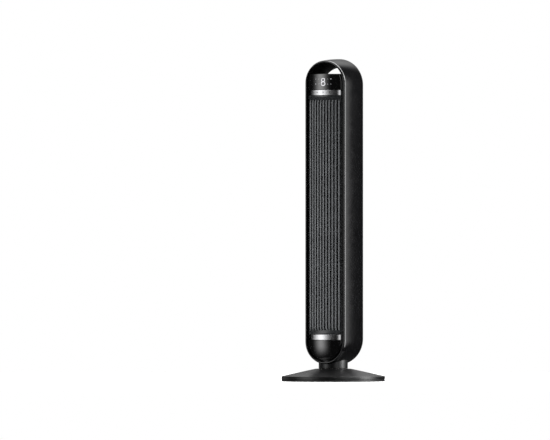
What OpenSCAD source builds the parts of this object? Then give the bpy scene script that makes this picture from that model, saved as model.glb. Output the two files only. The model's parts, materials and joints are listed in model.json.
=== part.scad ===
// Tower fan: a round weighted base carries a pill-shaped tower that swings from side to
// side. A cross-flow impeller stands inside the tower and blows out through the front slats.
// Frame: millimetres, +Z up. The origin is on the floor at the centre of the base, the air
// outlet faces -Y, and +X is to the right of a person who looks at the outlet.

/* [Casing] */
// Height of the whole fan above the floor
overall_h = 1080; // [1040:1:1120]
// Half of the casing's width at its widest section
casing_half_w = 87; // [86:0.5:88]
// Half of the casing's width at the front rim
rim_half_w = 73.7; // [73:0.1:74.5]
// Distance from the swivel axis forward to the front rim
rim_forward = 60; // [60:0.5:61]
// Distance from the swivel axis back to the widest section
widest_back = 46; // [45:0.5:47]
// Wall thickness of the casing mouldings
wall = 2.6; // [2.2:0.1:2.8]
// Width of the lip round the front rim
lip_w = 6.2; // [6:0.1:6.4]

/* [Front column] */
// Half of the width of the column inside the rim
column_half_w = 63; // [62:0.1:63.4]
// Radius of the column's bowed front, seen from above
bow_r = 157; // [150:1:170]
// How far the bow stands in front of the front rim
bow_forward = 12.5; // [11.5:0.1:13]
// Radius of the lower end's fore-and-aft curve, seen from the side
dome_r = 218; // [210:1:240]
// Number of vertical slats
slat_count = 11; // [9:1:11]
// Distance from one slat to the next
slat_pitch = 10.85; // [10.4:0.05:10.9]
// Width of one slat
slat_w = 5.2; // [4.6:0.1:5.4]

/* [Base] */
// Radius of the base
base_r = 173.5; // [170:0.5:176]
// Height of the base's upright rim
rim_h = 17; // [16.5:0.1:18]
// Height of the deck that the tower stands on
deck_z = 42; // [41.8:0.1:42.2]
// Radius of the flat deck
deck_r = 60; // [56:1:64]
// Outer radius of the neck
neck_r = 48.8; // [48.4:0.1:49]

/* [Air mover] */
// Outer radius of the cross-flow impeller
impeller_r = 44; // [42:0.5:44]
// Number of impeller blades
blade_count = 24; // [18:1:28]
// Number of discs that the blades pass through
disc_count = 5; // [4:1:6]

/* [Swing drive] */
// Gear module, the pitch diameter for each tooth
gear_module = 1.5; // [1.4:0.05:1.5]
// Teeth that a full ring of the swivel gear would have
gear_teeth = 60; // [58:1:60]
// Teeth of the drive pinion
pinion_teeth = 15; // [14:1:16]
// Teeth really cut on the swivel gear, enough for its sweep
sector_teeth = 20; // [20:2:24]
// Radius of the fixed pivot post
post_r = 18; // [17:0.5:18]

/* [Hidden] */

gap = 0.3;            // between neighbouring mouldings
running = 0.05;       // radial clearance of a shaft that turns in a bore
eps = 1;              // overrun of a cutting shape
arc_steps = 24;       // facets of one half-round casing end
$fn = 64;

// Casing sections. Each end of a section is a half circle.
rim_y = -rim_forward;
casing_low_z = 56;
rim_drop_top = 5.5;   // the rim's crest is this much below the overall height
rim_rise_low = 2;     // and its lowest point this much above the casing's
back_round = 14;
back_y = widest_back + back_round;
lip_t = 5;
shell_sections = 10;
round_sections = 5;

function bow_in(y) = pow((widest_back - y) / (widest_back - rim_y), 2);
function half_w(y) = casing_half_w - (casing_half_w - rim_half_w) * bow_in(y);
function high_centre(y) = overall_h - rim_drop_top * bow_in(y) - half_w(y);
function low_centre(y) = casing_low_z + rim_rise_low * bow_in(y) + half_w(y);

rim_high = high_centre(rim_y);
rim_low = low_centre(rim_y);
wide_high = high_centre(widest_back);
wide_low = low_centre(widest_back);

// Front column heights
display_top = 1030;
display_low = 976;
band_low = 958;
grille_low = 157;
slat_top = 942.5;
slat_low = 171.5;
lower_band_low = 138.8;
cap_back_y = -45;
skin = 2.5;
bow_axis_y = rim_y - bow_forward + bow_r;
housing_top = 1020;

// Handle opening, narrower and lower at the back
liner_t = 2.2;
liner_front_y = rim_y + lip_t;
handle_front = [rim_half_w - lip_w, rim_high, display_top];
handle_back = [73, 979, 1024];
handle_steps = 20;

// Inner heights
mount_z = 160;
mount_t = 4;
bracket_z = 946;
bracket_t = 4;
wheel_low = 172;
wheel_high = 936;
disc_t = 2;
shaft_r = 4;
motor_r = 36;
motor_low = 112;
motor_high = 150;
ear_r = 43;
grommet_h = mount_z - motor_high - 3;

// Swivel heights
plate_low = 1.6;
plate_top = 5.5;
seam_z = 7.4;
hub_low = 12;
gear_low = 24;
gear_h = 8;
flange_low = deck_z + 2.3;
flange_t = 4;
hub_top = 66;
hub_r = 24;
shoulder_r = 30;
deck_hole_r = 34;
post_top = 70.5;
groove_z = 68;
groove_t = 1.4;
screw_r = 1.9;
gear_pitch_r = gear_module * gear_teeth / 2;
pinion_pitch_r = gear_module * pinion_teeth / 2;
backlash_gap = 0.2;
motor_y = gear_pitch_r + pinion_pitch_r + backlash_gap;

// ---- shapes used by several parts ----

// A ring of points round a section, seen from the front anticlockwise
function pill_ring(y, w, low, high) = concat(
  [for (i = [0:arc_steps]) let (a = 180 * i / arc_steps) [w * cos(a), y, high + w * sin(a)]],
  [for (i = [0:arc_steps]) let (a = 180 * i / arc_steps + 180) [w * cos(a), y, low + w * sin(a)]]
);

// A ring of points round the handle opening: [radius, centre height, floor height]
function handle_ring(y, shape, grow) =
  let (r = shape[0] + grow, floor_z = shape[2] - grow, start = asin((floor_z - shape[1]) / r))
  [for (i = [0:handle_steps])
    let (a = start + (180 - 2 * start) * i / handle_steps)
    [r * cos(a), y, shape[1] + r * sin(a)]];

// A closed solid through a list of rings, from front to back
module loft(rings) {
  n = len(rings[0]);
  last = len(rings) - 1;
  points = [for (ring = rings) for (p = ring) p];
  sides = [for (k = [0:last - 1]) for (i = [0:n - 1]) let (j = (i + 1) % n)
    each [[k * n + i, k * n + j, (k + 1) * n + j], [k * n + i, (k + 1) * n + j, (k + 1) * n + i]]];
  front = [[for (i = [n - 1:-1:0]) i]];
  back = [[for (i = [0:n - 1]) last * n + i]];
  polyhedron(points, concat(sides, front, back));
}

// The casing's front body, from one depth to another, with its surface moved in
module casing_body(from_y, to_y, inset) {
  loft([for (k = [0:shell_sections])
    let (y = from_y + (to_y - from_y) * k / shell_sections)
    pill_ring(y, half_w(y) - inset, low_centre(y), high_centre(y))]);
}

// The casing's rounded back, with its surface moved in
module casing_back(from_y, inset) {
  loft(concat([pill_ring(from_y, casing_half_w - inset, wide_low, wide_high)],
    [for (k = [0:round_sections]) let (a = 90 * k / round_sections)
      pill_ring(widest_back + gap + (back_round - inset - gap) * sin(a),
        casing_half_w - inset - (back_round - inset) * (1 - cos(a)), wide_low, wide_high)]));
}

// A 2-D outline, x across and z up, as a slab from one depth to another
module upright(from_y, to_y) {
  translate([0, to_y, 0]) rotate([90, 0, 0]) linear_extrude(to_y - from_y) children();
}

// Pill outline of the front column, cut flat under the handle opening
module column_outline(w, top) {
  difference() {
    union() {
      translate([0, rim_low]) circle(w);
      translate([0, rim_high]) circle(w);
      translate([-w, rim_low]) square([2 * w, rim_high - rim_low]);
    }
    translate([-2 * w, top]) square([4 * w, 2 * w]);
  }
}

// Pill outline from half width and the centres of its two ends
module pill_outline(w, low, high) {
  translate([0, low]) circle(w);
  translate([0, high]) circle(w);
  translate([-w, low]) square([2 * w, high - low]);
}

// The column's bowed front as an upright cylinder, moved in by a depth
module bow(inset) {
  translate([0, bow_axis_y, 0]) cylinder(r = bow_r - inset, h = overall_h, $fn = 128);
}

// Everything between two heights
module slice(low, high) {
  translate([-150, -150, low]) cube([300, 300, high - low]);
}

// A front moulding: a bowed skin with side walls that reach back to the housing
module front_cap(low, high, skin_t) {
  intersection() {
    difference() {
      upright(rim_y - 20, cap_back_y) column_outline(column_half_w, display_top);
      intersection() {
        upright(rim_y - 20, cap_back_y + eps) column_outline(column_half_w - wall, display_top - wall);
        bow(skin_t);
      }
    }
    bow(0);
    slice(low, high);
  }
}

module ring(inner_r, outer_r, low, high) {
  translate([0, 0, low]) difference() {
    cylinder(r = outer_r, h = high - low);
    translate([0, 0, -eps]) cylinder(r = inner_r, h = high - low + 2 * eps);
  }
}

// A screw that stands upright with its head at the bottom
module screw_up(head_z, head_r, head_t, tip_z) {
  translate([0, 0, head_z]) cylinder(r = head_r, h = head_t);
  translate([0, 0, head_z]) cylinder(r = screw_r, h = tip_z - head_z);
}

module around(count, radius, start) {
  for (i = [0:count - 1]) rotate([0, 0, start + 360 * i / count]) translate([radius, 0, 0]) children();
}

// Involute of a circle, as a point at a roll angle in degrees
function involute(rb, t) =
  let (s = t * PI / 180) [rb * (cos(t) + s * sin(t)), rb * (sin(t) - s * cos(t))];
function turned(p, a) = [p[0] * cos(a) - p[1] * sin(a), p[0] * sin(a) + p[1] * cos(a)];
function roll_at(rb, r) = sqrt(pow(r / rb, 2) - 1) * 180 / PI;

// One gear tooth that points along +X, with involute flanks
module tooth(teeth, low_r) {
  pitch_r = gear_module * teeth / 2;
  rb = pitch_r * cos(20);
  tip_r = pitch_r + gear_module;
  lead = roll_at(rb, pitch_r) - 20;
  half = 90 / teeth - 0.12 * 180 / (PI * pitch_r) + lead;
  steps = 5;
  flank = [for (i = [0:steps])
    turned(involute(rb, roll_at(rb, tip_r) * i / steps), -half)];
  root = turned([low_r, 0], -half);
  upper = concat([root], flank);
  polygon(concat(upper, [for (i = [steps + 1:-1:0]) [upper[i][0], -upper[i][1]]]));
}

// ---- base ----

boss_spots = [45, 135, 225, 315];
boss_at = 140;
feet_at = 150;
gland_z = 12.3;
gland_r = 4.4;
ear_x = 30;
ear_z = 20;

module base_plate() {
  color("#1b1b1d") difference() {
    union() {
      rotate_extrude($fn = 128) polygon([[0, plate_low], [base_r - 2.5, plate_low],
        [base_r - 1, plate_low + 1.2], [base_r - 0.6, seam_z - gap], [base_r - 4, seam_z - gap],
        [base_r - 4, 10], [base_r - 6.6, 10], [base_r - 6.6, plate_top], [0, plate_top]]);
      ring(84.4, 87, plate_top - 0.5, 10);
      for (a = boss_spots) rotate([0, 0, a]) translate([boss_at, 0, plate_low + 0.5])
        cylinder(r = 6, h = 9);
      for (side = [-1, 1]) translate([side * ear_x, motor_y, plate_low + 0.5])
        cylinder(r = 4, h = ear_z - plate_low - 0.5);
    }
    around(6, feet_at, 0) cylinder(r = 10.1, h = 3.5);
    for (a = boss_spots) rotate([0, 0, a]) translate([boss_at, 0, 0]) {
      cylinder(r = 4.2, h = 7.5);
      cylinder(r = 2.2, h = 20);
    }
    for (side = [-1, 1]) translate([side * ear_x, motor_y, 10]) cylinder(r = screw_r + running, h = 20);
    for (a = [90, 210, 330]) rotate([0, 0, a]) translate([24, 0, 0])
      cylinder(r = screw_r + running, h = 10);
    translate([0, base_r - 10, gland_z]) rotate([-90, 0, 0]) cylinder(r = gland_r + 0.3, h = 20);
  }
}

module base_cover() {
  cover_low = seam_z;
  outer_edge = [[deck_hole_r, deck_z], [deck_r - 2, deck_z], [deck_r + 2, deck_z - 0.8],
    [base_r - 1.4, rim_h + 0.3], [base_r - 0.4, rim_h - 0.3], [base_r, rim_h - 1.2], [base_r, cover_low]];
  inner_edge = [[base_r - wall, cover_low], [base_r - wall, rim_h - 2.4], [deck_r + 1, deck_z - wall - 0.6],
    [deck_r - 3, deck_z - wall], [deck_hole_r, deck_z - wall]];
  color("#1d1d1f") difference() {
    union() {
      rotate_extrude($fn = 128) polygon(concat(outer_edge, inner_edge));
      for (a = boss_spots) rotate([0, 0, a]) translate([boss_at, 0, 12.2]) cylinder(r = 5, h = 10);
    }
    for (a = boss_spots) rotate([0, 0, a]) translate([boss_at, 0, 11]) cylinder(r = screw_r + running, h = 9);
    translate([0, base_r - 20, gland_z]) rotate([-90, 0, 0]) cylinder(r = gland_r + 0.1, h = 30);
  }
}

module ballast_ring() {
  color("#4a4a4c") ring(88, 128, plate_top + 0.05, 13);
}

module rubber_feet() {
  color("#0c0c0c") around(6, feet_at, 0) cylinder(r = 10, h = 3.45);
}

module base_screws() {
  color("#8d8d90") for (a = boss_spots) rotate([0, 0, a]) translate([boss_at, 0, 0])
    screw_up(5, 3.8, 2.4, 19);
}

module pivot_post() {
  color("#b9b9bc") difference() {
    union() {
      translate([0, 0, plate_top + 0.05]) cylinder(r = 28, h = 3);
      translate([0, 0, plate_top + 0.05]) cylinder(r = post_r, h = post_top - plate_top);
    }
    cylinder(r = 12.5, h = 100);
    ring(post_r - 1.2, post_r + 4, groove_z, groove_z + groove_t);
    for (a = [90, 210, 330]) rotate([0, 0, a]) translate([24, 0, 0]) cylinder(r = 2.2, h = 20);
  }
}

module pivot_screws() {
  color("#8d8d90") for (a = [90, 210, 330]) rotate([0, 0, a]) translate([24, 0, 0]) {
    translate([0, 0, 3.4]) cylinder(r = screw_r, h = 6);
    translate([0, 0, plate_top + 3.1]) cylinder(r = 3.6, h = 2.4);
  }
}

module glide_ring() {
  color("#dedbd2") ring(35, 45, deck_z + 0.02, deck_z + 2);
}

module thrust_washer() {
  color("#c9c9cc") ring(post_r + 0.1, 26, hub_top + gap, groove_z - 0.1);
}

module post_circlip() {
  color("#3a3a3d") difference() {
    ring(post_r - 1.1, post_r + 4, groove_z + 0.05, groove_z + groove_t - 0.05);
    translate([0, -4, groove_z - eps]) cube([40, 8, 4]);
  }
}

module swing_motor() {
  color("#9a9a9e") difference() {
    union() {
      translate([0, motor_y, 8.6]) cylinder(r = 25, h = 14);
      for (side = [-1, 1]) translate([side * ear_x, motor_y, ear_z + 0.05]) cylinder(r = 4.5, h = 1.5);
      translate([-ear_x, motor_y - 4.5, ear_z + 0.05]) cube([2 * ear_x, 9, 1.5]);
    }
    translate([0, motor_y, 13]) cylinder(r = 3 + running, h = 20);
    for (side = [-1, 1]) translate([side * ear_x, motor_y, 15]) cylinder(r = 2.1, h = 10);
  }
}

module swing_motor_screws() {
  color("#8d8d90") for (side = [-1, 1]) translate([side * ear_x, motor_y, 0]) {
    translate([0, 0, 12]) cylinder(r = screw_r, h = 10);
    translate([0, 0, ear_z + 1.6]) cylinder(r = 3.5, h = 2.2);
  }
}

module cord_gland() {
  collar_y = base_r - 23;
  color("#121212") translate([0, 0, gland_z]) rotate([-90, 0, 0]) difference() {
    union() {
      translate([0, 0, collar_y]) cylinder(r = gland_r, h = base_r - 0.3 - collar_y);
      translate([0, 0, collar_y]) cylinder(r = 5.2, h = 4);
    }
    translate([0, 0, collar_y - eps]) cylinder(r = 3, h = 40);
  }
}

// ---- swing drive ----

module drive_pinion() {
  root_r = pinion_pitch_r - 1.25 * gear_module;
  color("#e7e2d4") translate([0, motor_y, gear_low - 0.5]) difference() {
    union() {
      cylinder(r = root_r, h = gear_h + 1);
      around(pinion_teeth, 0, 270 + 180 / pinion_teeth) linear_extrude(gear_h + 1)
        tooth(pinion_teeth, root_r - 1);
    }
    translate([0, 0, -eps]) cylinder(r = 3.01, h = gear_h + 4);
  }
}

module pinion_shaft() {
  color("#c9c9cc") translate([0, motor_y, 13.5]) cylinder(r = 3, h = 20.5);
}

module swivel_gear() {
  root_r = gear_pitch_r - 1.25 * gear_module;
  color("#e7e2d4") translate([0, 0, gear_low]) difference() {
    union() {
      cylinder(r = root_r, h = gear_h, $fn = 96);
      for (i = [0:sector_teeth - 1]) rotate([0, 0, 90 + (i - (sector_teeth - 1) / 2 + 0.5) * 360 / gear_teeth])
        linear_extrude(gear_h) tooth(gear_teeth, root_r - 1);
    }
    translate([0, 0, -eps]) cylinder(r = hub_r + 0.02, h = gear_h + 3);
  }
}

module gear_circlip() {
  color("#3a3a3d") difference() {
    ring(hub_r - 1.4, hub_r + 4, gear_low - 1.6, gear_low - 0.1);
    translate([0, -5, gear_low - 4]) cube([40, 10, 6]);
  }
}

module swivel_hub() {
  color("#2a2a2d") difference() {
    union() {
      translate([0, 0, hub_low]) cylinder(r = hub_r, h = hub_top - hub_low);
      translate([0, 0, gear_low + gear_h + 0.05]) cylinder(r = shoulder_r, h = flange_low - gear_low - gear_h);
      translate([0, 0, flange_low]) cylinder(r = 45.4, h = flange_t);
    }
    cylinder(r = post_r + running, h = 100);
    ring(hub_r - 1.5, hub_r + 4, gear_low - 1.7, gear_low);
    around(4, 36, 45) translate([0, 0, flange_low - eps]) cylinder(r = screw_r + running, h = 10);
  }
}

neck_flange_low = flange_low + flange_t + 0.05;
neck_top = 84;

module neck_collar() {
  color("#1a1a1c") difference() {
    union() {
      ring(neck_r - 3, neck_r, deck_z + 0.8, neck_top);
      ring(25, neck_r - 2, neck_flange_low, neck_flange_low + 3);
    }
    around(4, 36, 45) translate([0, 0, neck_flange_low - eps]) cylinder(r = 2.2, h = 6);
  }
}

module neck_screws() {
  color("#8d8d90") around(4, 36, 45) {
    translate([0, 0, flange_low + 0.4]) cylinder(r = screw_r, h = 8);
    translate([0, 0, neck_flange_low + 3.05]) cylinder(r = 3.6, h = 2.4);
  }
}

// ---- casing ----

module outer_shell() {
  color("#1c1c1f") resize([0, 0, 0]) difference() {
    casing_body(rim_y, widest_back, 0);
    casing_body(rim_y + lip_t, widest_back + eps, wall);
    upright(rim_y - eps, rim_y + lip_t + eps) pill_outline(rim_half_w - lip_w, rim_low, rim_high);
    cylinder(r = neck_r + 0.3, h = neck_top + 6, $fn = 96);
  }
}

module handle_liner() {
  outer_front = handle_ring(liner_front_y + 0.05, handle_front, liner_t);
  outer_back = handle_ring(back_y, handle_back, liner_t);
  inner_front = handle_ring(liner_front_y - eps, handle_front, 0);
  inner_back = handle_ring(back_y + eps, handle_back, 0);
  color("#161618") difference() {
    loft([outer_front, outer_back]);
    loft([inner_front, inner_back]);
  }
}

boss_heights = [150, 400, 650, 900];
boss_x = 69.3;
side_boss_r = 4.4;
side_boss_front = 22;
rear_skin_y = back_y - wall;

module inner_housing() {
  housing_back = 40;
  floor_y = -42;
  color("#141416") difference() {
    union() {
      upright(cap_back_y + gap, housing_back) column_outline(column_half_w, housing_top);
      upright(floor_y, floor_y + wall)
        column_outline_wide(half_w(floor_y) - wall - 0.4, low_centre(floor_y), high_centre(floor_y));
      for (side = [-1, 1]) for (z = boss_heights) {
        upright(side_boss_front, rear_skin_y - 0.1) translate([side * boss_x, z]) circle(side_boss_r);
        translate([side * (column_half_w + 1) - 3, side_boss_front, z - 2])
          cube([6, housing_back - side_boss_front, 4]);
      }
    }
    upright(cap_back_y - eps, housing_back + eps) column_outline(column_half_w - wall, housing_top - wall);
    for (side = [-1, 1]) for (z = boss_heights)
      upright(40, back_y) translate([side * boss_x, z]) circle(screw_r + running);
    cylinder(r = neck_r + 0.3, h = neck_top + 0.4);
  }
}

module column_outline_wide(w, low, high) {
  difference() {
    pill_outline(w, low, high);
    translate([-2 * w, housing_top]) square([4 * w, 2 * w]);
  }
}

// Rear opening for the grille, half width and heights
rear_half_w = 52;
rear_low = 190;
rear_high = 930;
rear_round = 20;

module rear_outline(grow) {
  w = rear_half_w + grow;
  for (side = [-1, 1]) for (z = [rear_low + rear_round, rear_high - rear_round])
    translate([side * (rear_half_w - rear_round), z]) circle(rear_round + grow);
  translate([-w, rear_low + rear_round]) square([2 * w, rear_high - rear_low - 2 * rear_round]);
  translate([-(rear_half_w - rear_round), rear_low - grow])
    square([2 * (rear_half_w - rear_round), rear_high - rear_low + 2 * grow]);
}

// The handle surround is the top of the back, parted from the cover below the handle opening
surround_low = 1012;

module back_moulding(low, high) {
  resize([0, 0, 0]) difference() {
    intersection() {
      casing_back(widest_back + gap, 0);
      translate([-150, 0, low]) cube([300, 100, high - low]);
    }
    casing_back(widest_back + gap - eps, wall);
    upright(30, back_y + eps) rear_outline(0);
    loft([handle_ring(0, handle_back, liner_t + 0.3), handle_ring(back_y + eps, handle_back, liner_t + 0.3)]);
    cylinder(r = neck_r + 0.3, h = neck_top + 6, $fn = 96);
    for (side = [-1, 1]) for (z = boss_heights) {
      upright(30, back_y + eps) translate([side * boss_x, z]) circle(2.2, $fn = 24);
      upright(back_y - 1.5, back_y + eps) translate([side * boss_x, z]) circle(3.9, $fn = 24);
    }
  }
}

module rear_cover() {
  color("#1a1a1d") back_moulding(0, surround_low);
}

module handle_surround() {
  color("#1a1a1d") back_moulding(surround_low + gap, overall_h + eps);
}

rear_bow_r = 320;
rear_bow_out = 6;
vent_pitch = 12;
vent_h = 6;
vent_w = 44;

module rear_grille() {
  bow_centre = back_y + rear_bow_out - rear_bow_r;
  count = floor((rear_high - rear_low - 40) / vent_pitch);
  color("#18181a") difference() {
    intersection() {
      upright(back_y - 4, back_y + 20) rear_outline(-0.3);
      translate([0, bow_centre, 0]) cylinder(r = rear_bow_r, h = overall_h, $fn = 128);
    }
    intersection() {
      upright(back_y - 10, back_y + 20) rear_outline(-4);
      translate([0, bow_centre, 0]) cylinder(r = rear_bow_r - 3, h = overall_h, $fn = 128);
    }
    for (i = [0:count - 1]) for (side = [-1, 1])
      translate([side * 24 - vent_w / 2, back_y - 10, rear_low + 24 + i * vent_pitch])
        cube([vent_w, 40, vent_h]);
  }
}

module rear_screws() {
  color("#6e6e72") for (side = [-1, 1]) for (z = boss_heights) {
    upright(42, back_y - 1) translate([side * boss_x, z]) circle(screw_r);
    upright(back_y - 1.45, back_y) translate([side * boss_x, z]) circle(3.6);
  }
}

// ---- front mouldings ----

module display_lens() {
  color("#0b0b0c") difference() {
    front_cap(display_low + gap, display_top, skin);
    translate([-150, liner_front_y - 0.2, display_top - liner_t - 0.7]) cube([300, 100, 50]);
  }
}

module control_band() {
  color("#c4c4c8") front_cap(band_low + gap, display_low, skin);
}

module lower_band() {
  color("#c4c4c8") front_cap(lower_band_low + gap, grille_low, skin);
}

// The lower end's fore-and-aft curve as a cylinder across the fan, moved in by a depth
module dome_bow(inset) {
  translate([-100, rim_y - bow_forward + dome_r, lower_band_low]) rotate([0, 90, 0])
    cylinder(r = dome_r - inset, h = 200, $fn = 128);
}

module lower_dome() {
  color("#0b0b0c") difference() {
    intersection() {
      upright(rim_y - 20, cap_back_y) column_outline(column_half_w, display_top);
      bow(0);
      dome_bow(0);
      slice(0, lower_band_low);
    }
    intersection() {
      upright(rim_y - 20, cap_back_y + eps) column_outline(column_half_w - wall, display_top);
      bow(skin);
      dome_bow(skin);
    }
    cylinder(r = neck_r + 0.3, h = neck_top + 0.4);
  }
}

// A layer of the bowed front between two depths, as high as the slats' window
module bow_layer(from_depth, to_depth) {
  intersection() {
    difference() {
      bow(from_depth);
      bow(to_depth);
    }
    translate([-(column_half_w - wall), rim_y - 20, slat_low - eps])
      cube([2 * (column_half_w - wall), 60, slat_top - slat_low + 2 * eps]);
  }
}

module front_grille() {
  slat_depth = 7;
  rib_back = 11;
  ribs = 6;
  rib_h = 3;
  window_w = 2 * (column_half_w - wall);
  color("#2c3336") {
    difference() {
      front_cap(grille_low + gap, band_low, slat_depth);
      translate([-window_w / 2, rim_y - 20, slat_low]) cube([window_w, 60, slat_top - slat_low]);
    }
    intersection() {
      bow_layer(0, slat_depth);
      for (i = [0:slat_count - 1])
        translate([(i - (slat_count - 1) / 2) * slat_pitch - slat_w / 2, -100, 0])
          cube([slat_w, 100, overall_h]);
    }
    intersection() {
      bow_layer(slat_depth - 0.5, rib_back);
      for (i = [1:ribs])
        translate([-100, -100, slat_low + (slat_top - slat_low) * i / (ribs + 1)]) cube([200, 100, rib_h]);
    }
  }
}

// ---- boards in the head ----

carrier_y = -57;
board_y = -61;
board_t = 1.6;
board_posts = [[-38, 1014], [38, 1014], [-38, 990], [38, 990], [-38, 968], [38, 968]];

module board_carrier() {
  color("#232326") difference() {
    union() {
      translate([-52, carrier_y, 962]) cube([104, 2, 58]);
      for (p = board_posts) upright(board_y + board_t + 0.05, carrier_y + 0.5) translate(p) circle(3);
      for (side = [-1, 1]) {
        translate([side * 48 - 2, carrier_y, 962]) cube([4, 11, 40]);
        translate([side * 48 - 2, carrier_y + 4, bracket_z + bracket_t + 0.05]) cube([4, 14, 30]);
      }
    }
    for (p = board_posts) upright(board_y - 5, carrier_y + 5) translate(p) circle(1.3);
  }
}

module flat_board(width, low, high) {
  difference() {
    translate([-width / 2, board_y, low]) cube([width, board_t, high - low]);
    for (p = board_posts) upright(board_y - 5, board_y + 5) translate(p) circle(1.5);
  }
}

module display_board() {
  color("#1e5b37") flat_board(84, 984, 1020);
}

module touch_board() {
  color("#1e5b37") flat_board(84, 962, 976);
}

module display_led() {
  color("#3a3a3a") translate([-26, board_y - 3.6, 990]) cube([44, 3.55, 24]);
}

module board_screws() {
  color("#8d8d90") for (p = board_posts) {
    upright(board_y, carrier_y + 1) translate(p) circle(1.25);
    upright(board_y - 1.1, board_y - 0.05) translate(p) circle(2.4);
  }
}

module power_board() {
  color("#1e5b37") {
    translate([-45, 8, 960]) cube([90, board_t, 52]);
    translate([-36, 8 + board_t, 966]) cube([24, 18, 26]);
    translate([4, 8 + board_t, 968]) cube([16, 14, 20]);
    translate([28, 8 + board_t, 972]) cube([10, 10, 12]);
    for (side = [-1, 1]) translate([side * 40 - 3, 8, bracket_z + bracket_t + 0.05]) cube([6, board_t, 12]);
  }
}

// ---- air path ----

// The guide wall opens out like a spiral round the impeller
scroll_start = 52;
scroll_end = -38;
scroll_steps = 12;
function scroll_point(i, extra) =
  let (t = i / scroll_steps, a = scroll_start + (scroll_end - scroll_start) * t,
    r = impeller_r + 2.5 + 7.5 * t + extra)
  [r * cos(a), r * sin(a)];

duct_low = mount_z + mount_t + 0.05;
duct_high = bracket_z - 0.05;
outlet_x = 57.5;
outlet_y = -46;

module duct_scroll() {
  inner = [for (i = [0:scroll_steps]) scroll_point(i, 0)];
  outer = [for (i = [scroll_steps:-1:0]) scroll_point(i, 1.8)];
  color("#202024") translate([0, 0, duct_low]) linear_extrude(duct_high - duct_low)
    polygon(concat(inner, [[outlet_x - 1, outlet_y], [outlet_x + 1, outlet_y]], outer));
}

module duct_tongue() {
  nose_r = impeller_r + 4.5;
  nose = 214;
  color("#202024") translate([0, 0, duct_low]) linear_extrude(duct_high - duct_low) union() {
    translate([nose_r * cos(nose), nose_r * sin(nose)]) circle(2, $fn = 32);
    polygon([[nose_r * cos(nose), nose_r * sin(nose) - 2], [nose_r * cos(nose), nose_r * sin(nose) + 2],
      [-outlet_x - 1, outlet_y + 6], [-outlet_x - 1, outlet_y], [-outlet_x + 2, outlet_y]]);
  }
}

// A flat bulkhead that fits inside the housing
module bulkhead(low, high) {
  translate([0, 0, low]) linear_extrude(high - low)
    translate([-(column_half_w - wall - 0.2), cap_back_y + 3])
      square([2 * (column_half_w - wall - 0.2), 80]);
}

ear_spots = [30, 150, 270];

module motor_mount() {
  color("#26262a") difference() {
    bulkhead(mount_z, mount_z + mount_t);
    translate([0, 0, mount_z - eps]) cylinder(r = 12, h = mount_t + 2 * eps);
    for (a = ear_spots) rotate([0, 0, a]) translate([ear_r - 4, 0, mount_z - eps])
      cylinder(r = screw_r + running, h = mount_t + 2 * eps);
  }
}

module fan_motor() {
  color("#8f9094") difference() {
    union() {
      translate([0, 0, motor_low]) cylinder(r = motor_r - 3, h = motor_high - motor_low);
      translate([0, 0, motor_low + 6]) cylinder(r = motor_r, h = motor_high - motor_low - 12);
      translate([0, 0, motor_high - eps]) cylinder(r = 9, h = 6);
      for (a = ear_spots) rotate([0, 0, a]) {
        translate([ear_r - 4, 0, motor_high]) cylinder(r = 6, h = 3);
        translate([20, -6, motor_high]) cube([ear_r - 24, 12, 3]);
      }
      translate([0, 0, motor_high - 0.5]) cylinder(r = motor_r - 6, h = 3.5);
    }
    translate([0, 0, motor_low + 5]) cylinder(r = shaft_r + running, h = 60);
    for (a = ear_spots) rotate([0, 0, a]) translate([ear_r - 4, 0, motor_high - eps])
      cylinder(r = 2.2, h = 6);
  }
}

module motor_grommets() {
  color("#0c0c0c") for (a = ear_spots) rotate([0, 0, a]) translate([ear_r - 4, 0, 0])
    ring(2, 6, motor_high + 3.05, mount_z - 0.05);
}

module motor_screws() {
  color("#8d8d90") for (a = ear_spots) rotate([0, 0, a]) translate([ear_r - 4, 0, 0])
    screw_up(motor_high - 2.6, 3.6, 2.5, mount_z + mount_t + 2);
}

module bearing_bracket() {
  color("#26262a") difference() {
    union() {
      bulkhead(bracket_z, bracket_z + bracket_t);
      translate([0, 0, bracket_z]) cylinder(r = 13, h = 10);
    }
    translate([0, 0, bracket_z - eps]) cylinder(r = 9.02, h = 20);
  }
}

module upper_bearing() {
  color("#a9895a") ring(shaft_r + running, 9, bracket_z, bracket_z + 10);
}

module blade(steps) {
  // A thin curved blade between the inner and outer radius of the impeller
  inner_r = impeller_r - 10;
  sweep = 14;
  t = 0.6;
  mid = [for (i = [0:steps]) let (s = i / steps, r = inner_r + (impeller_r - 0.3 - inner_r) * s,
    a = sweep * s * s) [r * cos(a), r * sin(a)]];
  polygon(concat([for (p = mid) p + [0, t]], [for (i = [steps:-1:0]) mid[i] - [0, t]]));
}

module impeller_wheel() {
  color("#303236") difference() {
    union() {
      for (i = [0:disc_count - 1])
        translate([0, 0, wheel_low + (wheel_high - disc_t - wheel_low) * i / (disc_count - 1)])
          cylinder(r = impeller_r, h = disc_t);
      around(blade_count, 0, 0) translate([0, 0, wheel_low + 0.5])
        linear_extrude(wheel_high - wheel_low - 1) blade(4);
      translate([0, 0, wheel_low]) cylinder(r = 14, h = 14);
      translate([0, 0, wheel_high - 10]) cylinder(r = 9, h = 10);
    }
    translate([0, 0, wheel_low - eps]) cylinder(r = 9.02, h = 16);
    for (i = [1:disc_count - 2])
      translate([0, 0, wheel_low + (wheel_high - disc_t - wheel_low) * i / (disc_count - 1) - eps])
        cylinder(r = 22, h = disc_t + 2 * eps);
    translate([0, 0, wheel_high - 11]) cylinder(r = shaft_r + 0.02, h = 20);
  }
}

module impeller_hub() {
  color("#b9b9bc") difference() {
    ring(shaft_r + 0.02, 9, wheel_low - 4, wheel_low + 15);
    translate([0, 0, wheel_low - 2]) rotate([0, 90, 0]) cylinder(r = 1.5, h = 12);
  }
}

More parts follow.
